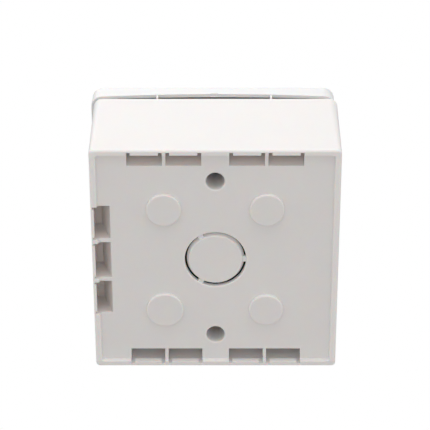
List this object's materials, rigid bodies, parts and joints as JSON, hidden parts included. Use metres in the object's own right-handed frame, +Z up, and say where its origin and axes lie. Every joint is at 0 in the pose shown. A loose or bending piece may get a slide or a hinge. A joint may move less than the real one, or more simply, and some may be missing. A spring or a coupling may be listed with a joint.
{
  "type": "manual call point",
  "caption": "Square wall-mounted manual call point: surface box with rear cable bays, hinged fascia, pressable plate and key reset.",
  "frame": {"origin": "centre of the box's back face, on the plane of the wall it is screwed to", "axes": "+X right seen from the front, +Z up, the front faces -Y and the wall lies at +Y"},
  "size_m": [0.0874, 0.057, 0.0866],
  "materials": {
    "box_white": "fine satin moulded texture",
    "chassis_white": "satin moulded",
    "zinc_steel": "bright zinc plated",
    "bracket_grey": "satin moulded",
    "switch_black": "matt moulded",
    "tinned_metal": "tinned",
    "board_green": "solder mask",
    "terminal_green": "satin moulded",
    "led_red": "clear tinted resin",
    "resistor_beige": "lacquered",
    "capacitor_sleeve": "shrink sleeve",
    "spring_steel": "drawn wire",
    "fascia_white": "smooth semi-gloss moulded",
    "clear_plastic": "clear polished",
    "plate_white": "semi-gloss moulded",
    "mark_black": "matt print",
    "flag_yellow": "satin moulded",
    "barrel_grey": "satin moulded",
    "plunger_red": "satin moulded"
  },
  "bodies": {
    "housing": {"back_box": "box_white", "chassis": "chassis_white", "chassis_screws": "zinc_steel", "barrel_bracket": "bracket_grey", "bracket_screws": "zinc_steel", "switch_body": "switch_black", "switch_pins": "tinned_metal", "circuit_board": "board_green", "board_screws": "zinc_steel", "terminal_block": "terminal_green", "terminal_clamps": "tinned_metal", "terminal_screws": "zinc_steel", "led": "led_red", "light_pipe": "clear_plastic", "resistors": "resistor_beige", "capacitor": "capacitor_sleeve", "plate_spring_right": "spring_steel", "plate_spring_left": "spring_steel"},
    "cover": {"fascia": "fascia_white", "indicator_lens": "clear_plastic"},
    "plate": {"operating_plate": "plate_white", "plate_marks": "mark_black"},
    "flag": {"flag_slider": "flag_yellow"},
    "barrel": {"reset_barrel": "barrel_grey"},
    "lever": {"switch_lever": "spring_steel"},
    "plunger": {"switch_plunger": "plunger_red"}
  },
  "joints": [
    {"name": "cover_hinge", "type": "hinge", "parent": "housing", "child": "cover", "pos_m": [0, -0.0425, 0.0423], "axis": [-1, 0, 0], "range_deg": [0, 85]},
    {"name": "plate_press", "type": "slide", "parent": "housing", "child": "plate", "axis": [0, 1, 0], "range_m": [0, 0.0035], "deforming": ["plate_spring_right", "plate_spring_left"]},
    {"name": "flag_drop", "type": "slide", "parent": "housing", "child": "flag", "axis": [0, 0, -1], "range_m": [0, 0.005]},
    {"name": "barrel_turn", "type": "hinge", "parent": "housing", "child": "barrel", "pos_m": [0, -0.05, -0.029], "axis": [0, 1, 0], "range_deg": [0, 72]},
    {"name": "lever_swing", "type": "hinge", "parent": "housing", "child": "lever", "pos_m": [-0.021, -0.0473, -0.019], "axis": [-1, 0, 0], "range_deg": [0, 12]},
    {"name": "plunger_push", "type": "slide", "parent": "housing", "child": "plunger", "axis": [0, 1, 0], "range_m": [0, 0.001]}
  ],
  "couplings": [
    {"joint": "flag_drop", "follows": "plate_press", "ratio": 1.4286},
    {"joint": "barrel_turn", "follows": "plate_press", "rad_per_m": 359.04},
    {"joint": "lever_swing", "follows": "plate_press", "rad_per_m": 59.839},
    {"joint": "plunger_push", "follows": "plate_press", "ratio": 0.28571}
  ]
}
